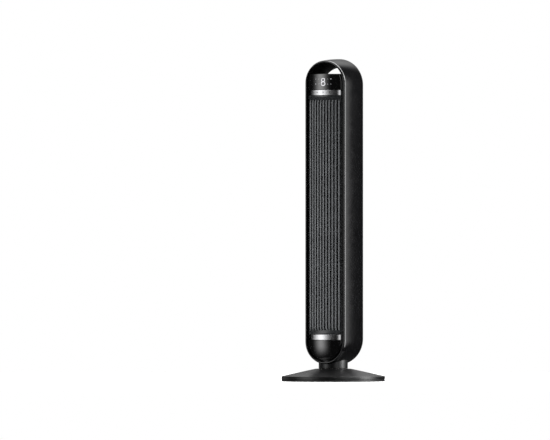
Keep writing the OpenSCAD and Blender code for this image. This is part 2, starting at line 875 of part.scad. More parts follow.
module impeller_axle() {
  color("#c9c9cc") translate([0, 0, wheel_high - 10.9]) cylinder(r = shaft_r, h = bracket_z + 12 - wheel_high + 10.9);
}

module motor_shaft() {
  color("#c9c9cc") translate([0, 0, motor_low + 5.5]) cylinder(r = shaft_r, h = wheel_low + 14 - motor_low - 5.5);
}

// ---- what is drawn ----

base_plate();
base_cover();
ballast_ring();
rubber_feet();
base_screws();
pivot_post();
pivot_screws();
glide_ring();
thrust_washer();
post_circlip();
swing_motor();
swing_motor_screws();
cord_gland();
drive_pinion();
pinion_shaft();
swivel_hub();
swivel_gear();
gear_circlip();
neck_collar();
neck_screws();
outer_shell();
handle_liner();
inner_housing();
rear_cover();
handle_surround();
rear_grille();
rear_screws();
display_lens();
control_band();
front_grille();
lower_band();
lower_dome();
board_carrier();
display_board();
display_led();
touch_board();
power_board();
board_screws();
duct_scroll();
duct_tongue();
motor_mount();
fan_motor();
motor_grommets();
motor_screws();
bearing_bracket();
upper_bearing();
impeller_wheel();
impeller_hub();
impeller_axle();
motor_shaft();
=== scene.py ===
"""Looks of the tower fan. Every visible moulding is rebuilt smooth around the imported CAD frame, with
rounded edges, small parting gaps and procedural materials. The working parts inside keep their CAD
meshes and get materials. Sizes are in millimetres and become metres where a mesh is made."""

import json
import math

import bmesh
import bpy
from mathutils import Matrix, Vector


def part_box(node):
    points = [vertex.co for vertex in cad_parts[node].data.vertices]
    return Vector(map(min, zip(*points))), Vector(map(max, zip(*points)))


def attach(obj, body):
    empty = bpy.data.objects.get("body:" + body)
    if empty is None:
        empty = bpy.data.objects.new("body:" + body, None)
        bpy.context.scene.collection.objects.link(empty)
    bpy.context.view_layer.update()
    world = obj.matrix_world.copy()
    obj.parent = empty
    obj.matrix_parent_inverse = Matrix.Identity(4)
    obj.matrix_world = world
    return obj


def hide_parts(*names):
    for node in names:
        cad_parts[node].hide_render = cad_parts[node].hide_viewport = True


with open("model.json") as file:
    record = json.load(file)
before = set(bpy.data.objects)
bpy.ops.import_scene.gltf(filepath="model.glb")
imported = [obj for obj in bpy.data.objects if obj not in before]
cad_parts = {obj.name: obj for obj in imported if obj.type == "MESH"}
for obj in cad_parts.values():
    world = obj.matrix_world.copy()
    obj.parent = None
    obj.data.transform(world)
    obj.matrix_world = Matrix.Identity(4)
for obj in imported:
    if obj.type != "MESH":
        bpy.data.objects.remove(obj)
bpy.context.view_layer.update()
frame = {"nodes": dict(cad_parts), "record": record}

MM = 0.001


def cad(node):
    """Lowest and highest corner of a CAD node, in millimetres."""
    low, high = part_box(node)
    return low / MM, high / MM


# ---- sizes that the CAD frame fixes ----

SHELL_LOW, SHELL_HIGH = cad("outer_shell")
REAR_LOW, REAR_HIGH = cad("rear_cover")
LENS_LOW, LENS_HIGH = cad("display_lens")
BAND_LOW, BAND_HIGH = cad("control_band")
GRILLE_LOW, GRILLE_HIGH = cad("front_grille")
LOWER_LOW, LOWER_HIGH = cad("lower_band")
DOME_HIGH = cad("lower_dome")[1]
SURROUND_LOW = cad("handle_surround")[0]
VENT_LOW, VENT_HIGH = cad("rear_grille")
COVER_LOW, COVER_HIGH = cad("base_cover")
PLATE_LOW, PLATE_HIGH = cad("base_plate")
NECK_LOW, NECK_HIGH = cad("neck_collar")
GLAND_LOW, GLAND_HIGH = cad("cord_gland")

# Casing: half width and end centres change from the front rim to the widest section
RIM_Y = SHELL_LOW.y
WIDE_Y = SHELL_HIGH.y
WIDE_W = SHELL_HIGH.x
RIM_W = 74.7
TOP_Z = SHELL_HIGH.z
BOTTOM_Z = REAR_LOW.z
RIM_TOP_DROP = 5.5
RIM_LOW_RISE = 2.0
RIM_FORWARD = 3.0
WALL = 2.6
LIP_W = 6.2
LIP_T = 5.0
SEAM_EDGE = 0.5
SIDE_STEPS = 24
BACK_Y = REAR_HIGH.y
BACK_ROUND = BACK_Y - WIDE_Y

# Front column
COLUMN_W = LENS_HIGH.x
BOW_R = 157.0
FRONT_Y = GRILLE_LOW.y
CAP_BACK_Y = GRILLE_HIGH.y
FRONT_COLUMNS = 96
EDGE_ROUND = 2.8
CAP_WALL = 2.2
TRIM_WALL = 2.4
TRIM_WRAP = 23.0
TRIM_TURN = 18.0
TRIM_SLOPE = 0.6
DOME_R = 218.0
DOME_STEPS = 40
SLATS = 11
SLAT_PITCH = 10.85
SLAT_W = 6.2
WINDOW_LOW = GRILLE_LOW.z + 14.2
WINDOW_HIGH = GRILLE_HIGH.z - 15.5

# Handle opening: radius, centre height and floor height of its outline at the back
HANDLE_BACK = (73.0, TOP_Z - 101.0, TOP_Z - 56.0)
LINER_T = 2.2
LINER_FLARE = 1.6
LINER_STEPS = 12

# Base
DECK_R = 60.0
DECK_HOLE_R = 34.0
RIM_TOP_Z = 17.0
SEAM_Z = COVER_LOW.z
SEAM_GAP = 0.3
SKIRT_LOW = 0.5
FEET_R = 150.0
FOOT_HOLE = (10.1, 3.5)
BASE_SCREWS_R = 140.0
BASE_SCREW_HOLE = (4.2, 20.0)
GLAND_HOLE_R = 4.6

# Neck and the hole for it in the casing, the lower end and the back
NECK_WALL = 3.0
NECK_HOLE_R = NECK_HIGH.x + 0.3
NECK_CLEAR = 2.0


# ---- mesh helpers ----

def new_object(name, data):
    """An object in the scene for a mesh or a camera."""
    obj = bpy.data.objects.new(name, data)
    bpy.context.scene.collection.objects.link(obj)
    return obj


def make_mesh(name, points, faces, smooth_angle=35.0):
    """A mesh from millimetre points, with doubles merged, normals outward and smooth shading."""
    mesh = bpy.data.meshes.new(name)
    mesh.from_pydata([(x * MM, y * MM, z * MM) for x, y, z in points], [], faces)
    work = bmesh.new()
    work.from_mesh(mesh)
    bmesh.ops.remove_doubles(work, verts=work.verts, dist=1e-6)
    bmesh.ops.dissolve_degenerate(work, edges=work.edges, dist=1e-7)
    bmesh.ops.recalc_face_normals(work, faces=work.faces)
    work.to_mesh(mesh)
    work.free()
    obj = new_object(name, mesh)
    shade(obj, smooth_angle)
    return obj


def shade(obj, angle):
    """Smooth shading, with edges sharper than the angle kept sharp."""
    mesh = obj.data
    mesh.polygons.foreach_set("use_smooth", [True] * len(mesh.polygons))
    work = bmesh.new()
    work.from_mesh(mesh)
    limit = math.radians(angle)
    for edge in work.edges:
        edge.smooth = not (edge.is_manifold and edge.calc_face_angle(0.0) > limit)
    work.to_mesh(mesh)
    work.free()
    mesh.update()


def join_rings(rings, closed_ring=True, closed_sweep=False, ends=True):
    """Points and faces of a surface through rings that all have the same number of points."""
    n = len(rings[0])
    count = len(rings)
    points = [p for ring in rings for p in ring]
    faces = []
    for k in range(count if closed_sweep else count - 1):
        a, b = k * n, ((k + 1) % count) * n
        for i in range(n if closed_ring else n - 1):
            j = (i + 1) % n
            faces.append((a + i, a + j, b + j, b + i))
    if ends and not closed_sweep:
        faces.append(tuple(range(n - 1, -1, -1)))
        faces.append(tuple((count - 1) * n + i for i in range(n)))
    return points, faces


def merged(parts):
    """Several (points, faces) as one."""
    points, faces = [], []
    for part_points, part_faces in parts:
        start = len(points)
        points += part_points
        faces += [tuple(start + i for i in face) for face in part_faces]
    return points, faces


def apply_modifiers(obj):
    """Bakes an object's modifiers into its mesh."""
    depsgraph = bpy.context.evaluated_depsgraph_get()
    mesh = bpy.data.meshes.new_from_object(obj.evaluated_get(depsgraph))
    obj.modifiers.clear()
    old = obj.data
    obj.data = mesh
    bpy.data.meshes.remove(old)


def cut(obj, *cutters):
    """Subtracts the cutters from the object, and removes them."""
    for cutter in cutters:
        boolean = obj.modifiers.new("cut", "BOOLEAN")
        boolean.operation = "DIFFERENCE"
        boolean.solver = "EXACT"
        boolean.object = cutter
    apply_modifiers(obj)
    for cutter in cutters:
        bpy.data.objects.remove(cutter)


def thicken(obj, thickness):
    """Gives an open surface a wall on its inner side."""
    solidify = obj.modifiers.new("wall", "SOLIDIFY")
    solidify.thickness = thickness * MM
    solidify.offset = -1
    apply_modifiers(obj)


def soften(obj, width, angle):
    """Rounds the edges that are sharper than an angle."""
    bevel = obj.modifiers.new("round", "BEVEL")
    bevel.width = width * MM
    bevel.segments = 2
    bevel.limit_method = "ANGLE"
    bevel.angle_limit = math.radians(angle)
    apply_modifiers(obj)


def even_shading(obj):
    """Keeps large flat faces flat in the light where they meet small rounded edges."""
    weighted = obj.modifiers.new("shading", "WEIGHTED_NORMAL")
    weighted.keep_sharp = True
    apply_modifiers(obj)


def place(obj, body, slot, material, *nodes):
    """Rides the piece on its body, gives it its material, and hides the CAD nodes it stands for. The slot
    argument is not used.
    """
    obj.data.materials.clear()
    obj.data.materials.append(material)
    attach(obj, body)
    if nodes:
        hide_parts(*nodes)


def rounded(points, radii, steps):
    """An open 2-D polyline with its inner corners rounded; a radius of 0 keeps a corner."""
    out = [points[0]]
    for k in range(1, len(points) - 1):
        r = radii[k]
        here = Vector(points[k])
        to_last = Vector(points[k - 1]) - here
        to_next = Vector(points[k + 1]) - here
        angle = to_last.angle(to_next)
        if r <= 0 or angle > math.pi - 1e-3:
            out.append(tuple(here))
            continue
        reach = min(r / math.tan(angle / 2), 0.49 * to_last.length, 0.49 * to_next.length)
        r = reach * math.tan(angle / 2)
        middle = (to_last.normalized() + to_next.normalized()).normalized()
        centre = here + middle * (r / math.sin(angle / 2))
        start = here + to_last.normalized() * reach - centre
        end = here + to_next.normalized() * reach - centre
        sweep = start.angle_signed(end)
        for i in range(steps + 1):
            turn = -sweep * i / steps
            x = start.x * math.cos(turn) - start.y * math.sin(turn)
            y = start.x * math.sin(turn) + start.y * math.cos(turn)
            out.append((centre.x + x, centre.y + y))
    out.append(points[-1])
    return out


def lathe(name, profile, segments, centre=(0.0, 0.0)):
    """A closed (radius, height) profile turned about an upright axis."""
    rings = []
    for k in range(segments):
        a = 2 * math.pi * k / segments
        ring = [(centre[0] + r * math.cos(a), centre[1] + r * math.sin(a), z) for r, z in profile]
        rings.append(ring)
    return make_mesh(name, *join_rings(rings, closed_sweep=True))


def rod(name, radius, height, segments, centre=(0.0, 0.0)):
    """An upright cylinder that stands on the floor, for cutting."""
    profile = [(0.0, 0.0), (radius, 0.0), (radius, height), (0.0, height)]
    return lathe(name, profile, segments, centre)


def disc(x, z, r, steps):
    """A round 2-D outline."""
    angles = [2 * math.pi * i / steps for i in range(steps)]
    return [(x + r * math.cos(a), z + r * math.sin(a)) for a in angles]


def circle(radius, y, x_middle, z_middle):
    """A ring of points in an upright plane."""
    return [(x, y, z) for x, z in disc(x_middle, z_middle, radius, 32)]


def box_part(low, high):
    """Points and faces of a block."""
    xs, ys, zs = zip(low, high)
    points = [(x, y, z) for z in zs for y in ys for x in xs]
    faces = [(0, 2, 3, 1), (4, 5, 7, 6), (0, 1, 5, 4), (2, 6, 7, 3), (0, 4, 6, 2), (1, 3, 7, 5)]
    return points, faces


# ---- casing geometry ----

ARC_STEPS = 72


def bow_in(y):
    """0 at the casing's widest section and 1 at its front rim."""
    return ((WIDE_Y - y) / (WIDE_Y - RIM_Y)) ** 2


def half_w(y):
    """The casing's half width at a depth."""
    return WIDE_W - (WIDE_W - RIM_W) * bow_in(y)


def high_centre(y):
    """Height of the upper arc's centre at a depth."""
    return TOP_Z - RIM_TOP_DROP * bow_in(y) - half_w(y)


def low_centre(y):
    """Height of the lower arc's centre at a depth."""
    return BOTTOM_Z + RIM_LOW_RISE * bow_in(y) + half_w(y)


RIM_HIGH = high_centre(RIM_Y)
RIM_LOW = low_centre(RIM_Y)


def pill(y, w, low, high):
    """A pill-shaped ring of points in an upright plane."""
    ring = []
    for start, centre in ((0.0, high), (math.pi, low)):
        for i in range(ARC_STEPS + 1):
            a = start + math.pi * i / ARC_STEPS
            ring.append((w * math.cos(a), y, centre + w * math.sin(a)))
    return ring


def casing_ring(y, inset):
    """The casing's outline at a depth, drawn in by an inset."""
    return pill(y, half_w(y) - inset, low_centre(y), high_centre(y))


def quarter(centre, radius, start, end, steps):
    """Points on an arc between two angles in degrees."""
    angles = [math.radians(start + (end - start) * i / steps) for i in range(steps + 1)]
    return [(centre[0] + radius * math.cos(a), centre[1] + radius * math.sin(a)) for a in angles]


def bend(start, radius, first, last, steps):
    """An arc in the casing's (depth, inset) profile. The surface's normal turns from first to last degrees,
    where 0 faces forward and 90 sideways."""
    out = []
    a0 = math.radians(first)
    for i in range(1, steps + 1):
        a = math.radians(first + (last - first) * i / steps)
        depth = start[0] + radius * (math.cos(a0) - math.cos(a))
        inset = start[1] - radius * (math.sin(a) - math.sin(a0))
        out.append((depth, inset))
    return out


# Arcs of the casing's front lip from its inner edge outward: radius, first and last angle of the surface's
# normal, steps.
LIP_ARCS = [
    (0.8, -80, -52, 3),
    (8.0, -52, -38, 4),
    (0.8, -38, -22, 2),
    (1.8, -22, 60, 8),
    (21.0, 60, 75.9, 8),
]


def lip_profile():
    """The lip's (depth, inset) profile: a narrow chamfer, a rounded nose and a wide shoulder that meets the
    flared side."""
    edge = [(0.0, 0.0)]
    for radius, first, last, steps in LIP_ARCS:
        edge += bend(edge[-1], radius, first, last, steps)
    forward = RIM_Y - RIM_FORWARD - min(y for y, inset in edge)
    slip = edge[-1][1]
    return [(y + forward, inset - slip) for y, inset in edge]


def make_casing():
    """The hoop: a flared band, open at the front inside a lip that leans inward, with a hole for the neck."""
    edge = lip_profile()
    first_y = edge[-1][0]
    sweep = [(first_y + (WIDE_Y - first_y) * k / SIDE_STEPS, 0.0) for k in range(1, SIDE_STEPS)]
    back = quarter((WIDE_Y - SEAM_EDGE, SEAM_EDGE), SEAM_EDGE, 270, 360, 3)
    lip_back_y = RIM_Y + LIP_T
    inner = [(y, WALL) for y in (WIDE_Y, 0.0, RIM_Y + 30, lip_back_y)] + [(lip_back_y, edge[0][1])]
    profile = edge + sweep + back + inner
    rings = [casing_ring(y, inset) for y, inset in profile]
    obj = make_mesh("casing_hoop", *join_rings(rings, closed_sweep=True))
    cut(obj, rod("neck_hole", NECK_HOLE_R, NECK_HIGH.z + NECK_CLEAR, 96))
    shade(obj, 30)
    return obj


def handle_outline(y, shape, grow):
    """The handle opening's outline: an arc over a flat floor."""
    r, floor_z = shape[0] + grow, shape[2] - grow
    start = math.asin((floor_z - shape[1]) / r)
    steps = 40
    angles = [start + (math.pi - 2 * start) * i / steps for i in range(steps + 1)]
    return [(r * math.cos(a), y, shape[1] + r * math.sin(a)) for a in angles]


def make_handle_liner():
    """The sleeve through the top, with its rear edge flared out softly."""
    start_y = RIM_Y + LIP_T + 0.05
    length = BACK_Y - start_y
    front = (RIM_W - LIP_W, RIM_HIGH, LENS_HIGH.z)
    flare_steps = 6

    def shape(t):
        return tuple(a + (b - a) * t for a, b in zip(front, HANDLE_BACK))

    rings = []
    for k in range(LINER_STEPS + 1):
        t = k / LINER_STEPS * (1 - LINER_FLARE / length)
        rings.append(handle_outline(start_y + t * length, shape(t), 0.0))
    for k in range(1, flare_steps + 1):
        a = math.pi / 2 * k / flare_steps
        y = BACK_Y - LINER_FLARE + LINER_FLARE * math.sin(a)
        rings.append(handle_outline(y, HANDLE_BACK, LINER_FLARE * (1 - math.cos(a))))
    rings.append(handle_outline(BACK_Y, HANDLE_BACK, LINER_T))
    rings.append(handle_outline(start_y, front, LINER_T))
    return make_mesh("handle_sleeve", *join_rings(rings, closed_sweep=True), 40)


# ---- front column geometry ----

def edge_distance(x, z):
    """How far a point of the column's front lies inside its pill outline."""
    if z < RIM_LOW:
        return COLUMN_W - math.hypot(x, RIM_LOW - z)
    if z > RIM_HIGH:
        return COLUMN_W - math.hypot(x, z - RIM_HIGH)
    return COLUMN_W - abs(x)


def roll_off(distance, radius):
    """How far a rounded edge falls back at a distance from the edge."""
    d = min(max(distance, 0.0), radius)
    return radius - math.sqrt(radius * radius - (radius - d) ** 2)


def bow_y(x, depth=0.0):
    """The column's bow, or the curve at a depth behind it."""
    return FRONT_Y + BOW_R - math.sqrt((BOW_R - depth) ** 2 - x * x)


def front_y(x, z):
    """Front surface of the column: a bow that rolls off at its outline."""
    return bow_y(x) + roll_off(edge_distance(x, z), EDGE_ROUND)


def band_y(x, z):
    """The silver bands also turn back near both ends, more and more over the turn, then straight."""
    into = max(TRIM_WRAP - edge_distance(x, z), 0.0)
    turned = min(into, TRIM_TURN)
    fall = TRIM_SLOPE * (turned ** 2 / (2 * TRIM_TURN) + into - turned)
    return front_y(x, z) + fall


def dome_y(x, z):
    """The lower end also falls back towards its lowest point."""
    fall = DOME_R - math.sqrt(DOME_R ** 2 - (DOME_HIGH.z - z) ** 2)
    return front_y(x, z) + fall


def outline_w(z):
    """Half width of the column's outline at a height."""
    if z < RIM_LOW:
        return math.sqrt(max(COLUMN_W ** 2 - (RIM_LOW - z) ** 2, 0.0))
    if z > RIM_HIGH:
        return math.sqrt(max(COLUMN_W ** 2 - (z - RIM_HIGH) ** 2, 0.0))
    return COLUMN_W


def row(z, surface, back_y, end_drop=0.0):
    """One row of a front moulding: side wall, front from left to right, side wall."""
    w = outline_w(z)
    xs = [w * math.sin(math.pi * (i / FRONT_COLUMNS - 0.5)) for i in range(FRONT_COLUMNS + 1)]
    front = [(x, surface(x, z) + end_drop, z) for x in xs]
    return [(-w, back_y, z)] + front + [(w, back_y, z)]


# Rounding of a moulding's upper and lower edge: its size, and steps as shares of it (height, set-back)
END_ROUND = 0.7
END_STEPS = [(0.0, 1.0), (0.06, 0.66), (0.2, 0.4), (0.5, 0.13), (1.0, 0.0)]


def end_rows(z_end, inward):
    """Heights and set-backs of the rows that round a moulding's end, and of one that keeps the rest flat."""
    rows = [(z_end + inward * END_ROUND * t, END_ROUND * drop) for t, drop in END_STEPS]
    return rows + [(z_end + inward * 1.6 * END_ROUND, 0.0)]


def front_shell(name, rows, wall):
    """A front moulding from its rows, with a wall behind the surface."""
    obj = make_mesh(name, *join_rings(rows, closed_ring=False, ends=False))
    thicken(obj, wall)
    return obj


def make_trim(name, low, high):
    """A silver band of the column between two corners: bowed skin, rounded edges, side walls."""
    levels = end_rows(low.z, 1) + end_rows(high.z, -1)[::-1]
    obj = front_shell(name, [row(z, band_y, CAP_BACK_Y, drop) for z, drop in levels], TRIM_WALL)
    shade(obj, 35)
    return obj


def make_display():
    """The glossy head of the column, closed on top as the front edge of the handle's floor."""
    top_round = 1.6
    face_steps = 28
    liner_y = RIM_Y + LIP_T - 0.25
    top = LENS_HIGH.z
    face_low, face_high = LENS_LOW.z + 1, top - 5
    levels = end_rows(LENS_LOW.z, 1)
    levels += [(face_low + (face_high - face_low) * k / face_steps, 0.0) for k in range(face_steps)]
    rows = [row(z, front_y, CAP_BACK_Y, drop) for z, drop in levels]
    rows.append(row(top - 4.2, front_y, CAP_BACK_Y))
    for a in range(0, 91, 15):
        z = top - top_round + top_round * math.sin(math.radians(a))
        drop = top_round * (1 - math.cos(math.radians(a)))
        rows.append(row(z, front_y, liner_y, drop))
    last = rows[-1]
    rows.append([(x, min(liner_y, y + 12), z) for x, y, z in last])
    rows.append([(x, liner_y, z) for x, y, z in last])
    obj = front_shell("display_window", rows, CAP_WALL)
    shade(obj, 35)
    return obj


def make_dome():
    """The glossy rounded end of the column."""
    angles = [math.pi / 2 * k / DOME_STEPS for k in range(1, DOME_STEPS + 1)]
    arc = [RIM_LOW - COLUMN_W * math.cos(a) for a in angles]
    levels = [(z, 0.0) for z in arc] + end_rows(DOME_HIGH.z, -1)[::-1]
    obj = front_shell("lower_end", [row(z, dome_y, CAP_BACK_Y, drop) for z, drop in levels], CAP_WALL)
    cut(obj, rod("neck_hole", NECK_HOLE_R, NECK_HIGH.z, 96))
    shade(obj, 35)
    return obj


LEDGE = 4.6
LEDGE_DEPTH = 1.8
SLOPE_DEPTH = 3.0
FRAME_WALL = 3.0
RAIL_COLUMNS = 12
RAIL_STEPS = 12


def frame_y(x, z):
    """Front of the grille's frame: a set-back ledge by the silver bands, then a slope to the window."""
    y = front_y(x, z)
    high_bar, low_bar = GRILLE_HIGH.z - WINDOW_HIGH, WINDOW_LOW - GRILLE_LOW.z
    for into, bar_h in ((GRILLE_HIGH.z - z, high_bar), (z - GRILLE_LOW.z, low_bar)):
        if into < LEDGE:
            return y + LEDGE_DEPTH
        if into <= bar_h:
            return y + SLOPE_DEPTH * (into - LEDGE) / (bar_h - LEDGE)
    return y + SLOPE_DEPTH


def make_grille_frame():
    """The frame round the slats: sloped bars at top and bottom, and thin rails at the sides."""
    def bar_levels(outer, inner):
        sign = 1 if inner > outer else -1
        offsets = [0.0, 0.3, LEDGE - 0.01, LEDGE + 0.01, LEDGE + 0.5, abs(inner - outer) - 0.5]
        return [outer + sign * t for t in offsets] + [inner]

    low = bar_levels(GRILLE_LOW.z, WINDOW_LOW)
    high = bar_levels(GRILLE_HIGH.z, WINDOW_HIGH)[::-1]
    rails = [WINDOW_LOW + (WINDOW_HIGH - WINDOW_LOW) * k / RAIL_STEPS for k in range(1, RAIL_STEPS)]
    levels = low + rails + high
    rows = [row(z, frame_y, CAP_BACK_Y) for z in levels]
    points, faces = join_rings(rows, closed_ring=False, ends=False)
    n = len(rows[0])
    first, last = len(low) - 1, len(levels) - len(high)
    kept = []
    for index, face in enumerate(faces):
        level, column = divmod(index, n - 1)
        in_window = first <= level < last and RAIL_COLUMNS <= column < n - 1 - RAIL_COLUMNS
        if not in_window:
            kept.append(face)
    obj = make_mesh("grille_frame", points, kept)
    thicken(obj, FRAME_WALL)
    soften(obj, 0.35, 45)
    shade(obj, 30)
    return obj


SLAT_DEPTH = 6.0
SLAT_TAPER = 0.3
SLAT_END = 14.0
SLAT_END_FALL = 3.2
SLAT_END_STEPS = 10
SLAT_OVERLAP = 1.5
SLAT_SETBACK = 0.35
SLAT_TURN = 0.6
NOSE_DEPTH = 0.8
NOSE_STEPS = 14
NOSE_ANGLE = 86
RIBS = 6
RIB_STEPS = 12
RIB_INSET = 3.2
RIB_SECTION = ((0.0, 0.0), (0.0, 2.6), (4.0, 2.0), (4.0, 0.6))


def slat_part(x_middle):
    """One upright slat with a rounded nose, whose ends curve back behind the frame."""
    half = SLAT_W / 2
    angles = [math.radians(NOSE_ANGLE * (2 * i / NOSE_STEPS - 1)) for i in range(NOSE_STEPS + 1)]
    nose = [(half * math.sin(a), NOSE_DEPTH * (1 - math.cos(a))) for a in angles]
    tail = [(half * SLAT_TAPER, SLAT_DEPTH), (-half * SLAT_TAPER, SLAT_DEPTH)]
    low, high = WINDOW_LOW - SLAT_OVERLAP, WINDOW_HIGH + SLAT_OVERLAP
    ends = [SLAT_END * k / SLAT_END_STEPS for k in range(SLAT_END_STEPS + 1)]
    levels = [low + t for t in ends] + [high - t for t in ends[::-1]]
    slope = SLAT_TURN * x_middle / BOW_R
    front = front_y(x_middle, (low + high) / 2) + SLOPE_DEPTH * SLAT_SETBACK
    rings = []
    for z in levels:
        near_end = max(0.0, 1 - min(z - low, high - z) / SLAT_END)
        base = front + SLAT_END_FALL * near_end ** 2
        rings.append([(x_middle + x, base + y + slope * x, z) for x, y in nose + tail])
    return join_rings(rings)


def rib_part(z):
    """A thin bowed cross rib behind the slats, narrower at its back."""
    rings = []
    for i in range(2 * RIB_STEPS + 1):
        x = (COLUMN_W - RIB_INSET) * (i / RIB_STEPS - 1)
        y = bow_y(x, SLAT_DEPTH)
        rings.append([(x, y + behind, z + up) for behind, up in RIB_SECTION])
    return join_rings(rings)


def make_slats():
    """All slats, with the cross ribs behind them."""
    parts = [slat_part((i - (SLATS - 1) / 2) * SLAT_PITCH) for i in range(SLATS)]
    rib_pitch = (WINDOW_HIGH - WINDOW_LOW) / (RIBS + 1)
    parts += [rib_part(WINDOW_LOW + rib_pitch * k) for k in range(1, RIBS + 1)]
    return make_mesh("grille_slats", *merged(parts), 50)


# ---- display figures and touch marks ----

SUNK = 0.15
DOT_STEPS = 20


def on_front(x, z, proud):
    """A point just in front of the column's face."""
    return (x, front_y(x, z) - proud, z)


def ribbon(centre, outer, inner, proud=0.12, steps=40, power=2.6):
    """A flat ring on the column's front between two rounded outlines, as (points, faces)."""
    def outline(size, lift):
        ring = []
        for i in range(steps):
            a = 2 * math.pi * i / steps
            c, s = math.cos(a), math.sin(a)
            x = centre[0] + size[0] * math.copysign(abs(c) ** (2 / power), c)
            z = centre[1] + size[1] * math.copysign(abs(s) ** (2 / power), s)
            ring.append(on_front(x, z, lift))
        return ring

    rings = [outline(outer, -SUNK), outline(outer, proud), outline(inner, proud), outline(inner, -SUNK)]
    return join_rings(rings, closed_sweep=True)


def patch(outline, proud=0.12):
    """A flat shape on the column's front from its (x, z) outline, as (points, faces)."""
    rings = [[on_front(x, z, lift) for x, z in outline] for lift in (-SUNK, proud)]
    return join_rings(rings)


def bar(x, z, w, h):
    """A rectangular outline."""
    return [(x - w / 2, z - h / 2), (x + w / 2, z - h / 2), (x + w / 2, z + h / 2), (x - w / 2, z + h / 2)]


def petal(x, z, angle, r):
    """A leaf outline that starts at (x, z) and points along an angle."""
    steps = 10
    a = math.radians(angle)
    side = [(r * i / steps, 0.34 * r * math.sin(math.pi * i / steps)) for i in range(steps + 1)]
    loop = side + [(u, -v) for u, v in side[-2:0:-1]]
    c, s = math.cos(a), math.sin(a)
    return [(x + u * c - v * s, z + u * s + v * c) for u, v in loop]


def crescent(x, z, r):
    """A moon's outline, open to the right."""
    return quarter((x, z), r, 60, 300, 14) + quarter((x + 0.45 * r, z), 0.82 * r, 278, 82, 14)


DIGIT_X = 0.0
DIGIT_Z = (LENS_LOW.z + LENS_HIGH.z) / 2 + 0.25
ICON_NEAR = 16.0
ICON_FAR = 28.4
ICON_HIGH = DIGIT_Z + 9.2
ICON_LOW = DIGIT_Z - 8.0


def make_digit():
    """A lit figure eight of two rounded loops."""
    upper = ribbon((DIGIT_X, DIGIT_Z + 6.0), (7.2, 6.5), (4.4, 3.7))
    lower = ribbon((DIGIT_X, DIGIT_Z - 6.2), (8.0, 7.9), (5.1, 5.0))
    return make_mesh("display_digit", *merged([upper, lower]))


def make_icons():
    """Small generic symbols either side of the digit: sleep, speed, timer, swing and the like."""
    parts = []
    x, z = -ICON_FAR, ICON_HIGH
    parts += [patch(petal(x, z, a, 2.3)) for a in (90, 210, 330)]
    x, z = -ICON_NEAR, ICON_HIGH
    parts += [patch(crescent(x, z, 1.9))]
    x, z = -ICON_FAR, ICON_LOW
    parts += [ribbon((x, z), (2.1, 2.1), (1.4, 1.4), steps=24, power=2), patch(bar(x, z + 0.6, 0.6, 1.5))]
    x, z = -ICON_NEAR, ICON_LOW
    parts += [patch(bar(x, z + d, 3.2 - abs(d), 0.6)) for d in (-1.3, 0.0, 1.3)]
    x, z = ICON_NEAR, ICON_HIGH
    parts += [patch(bar(x + d, z - 0.8 + d / 3, 0.7, 1.4 + d * 0.7)) for d in (-1.2, 0.0, 1.2)]
    x, z = ICON_FAR, ICON_HIGH
    parts += [ribbon((x, z), (2.2, 1.7), (1.2, 0.8), steps=24, power=2), patch(disc(x, z, 0.7, DOT_STEPS))]
    x, z = ICON_NEAR, ICON_LOW
    parts += [patch(petal(x, z - 1.3, 90, 2.9))]
    x, z = ICON_FAR, ICON_LOW
    bars = ((0.0, 0.0, 3.6), (-1.1, 1.2, 1.2), (1.1, -1.2, 1.2))
    parts += [patch(bar(x + dx, z + dz, w, 0.7)) for dx, dz, w in bars]
    return make_mesh("display_icons", *merged(parts))


TOUCH_PITCH = 23.6
ETCH = 0.06


def make_touch_marks():
    """Etched marks on the silver band: power ring in the middle, fan, timer, three lines and two dots."""
    z = (BAND_LOW.z + BAND_HIGH.z) / 2 + 0.4
    parts = [ribbon((0, z), (3.1, 3.1), (2.0, 2.0), ETCH, 28, 2), patch(bar(0, z + 2.0, 1.0, 2.8), 0.07)]
    parts += [patch(disc(side * TOUCH_PITCH / 2, z, 0.8, DOT_STEPS), ETCH) for side in (-1, 1)]
    parts += [patch(petal(-TOUCH_PITCH, z, a, 3.4), ETCH) for a in (90, 210, 330)]
    parts += [ribbon((TOUCH_PITCH, z), (2.7, 2.7), (1.9, 1.9), ETCH, 28, 2)]
    parts += [patch(bar(TOUCH_PITCH, z + 0.6, 0.8, 2.0), 0.07)]
    parts += [patch(bar(TOUCH_PITCH * 1.85, z + d, 4.2, 0.9), ETCH) for d in (-1.6, 0.0, 1.6)]
    return make_mesh("touch_marks", *merged(parts))


# ---- rear geometry ----

REAR_W = 52.0
VENT_GAP = 0.3
REAR_WIN_LOW = VENT_LOW.z - VENT_GAP
REAR_WIN_HIGH = VENT_HIGH.z + VENT_GAP
REAR_CORNER = 20.0
BACK_STEPS = 10
SCREW_X = 69.3
SCREW_HEIGHTS = (150.0, 400.0, 650.0, 900.0)
SCREW_SPOTS = [(side * SCREW_X, z) for side in (-1, 1) for z in SCREW_HEIGHTS]


def window_outline(grow, y):
    """Rounded window in the rear cover, as a ring at one depth."""
    ring = []
    corners = ((1, REAR_WIN_HIGH - REAR_CORNER, 0), (-1, REAR_WIN_HIGH - REAR_CORNER, 90),
               (-1, REAR_WIN_LOW + REAR_CORNER, 180), (1, REAR_WIN_LOW + REAR_CORNER, 270))
    for side, z_middle, start in corners:
        middle = (side * (REAR_W - REAR_CORNER), z_middle)
        ring += [(x, y, z) for x, z in quarter(middle, REAR_CORNER + grow, start, start + 90, 10)]
    return ring


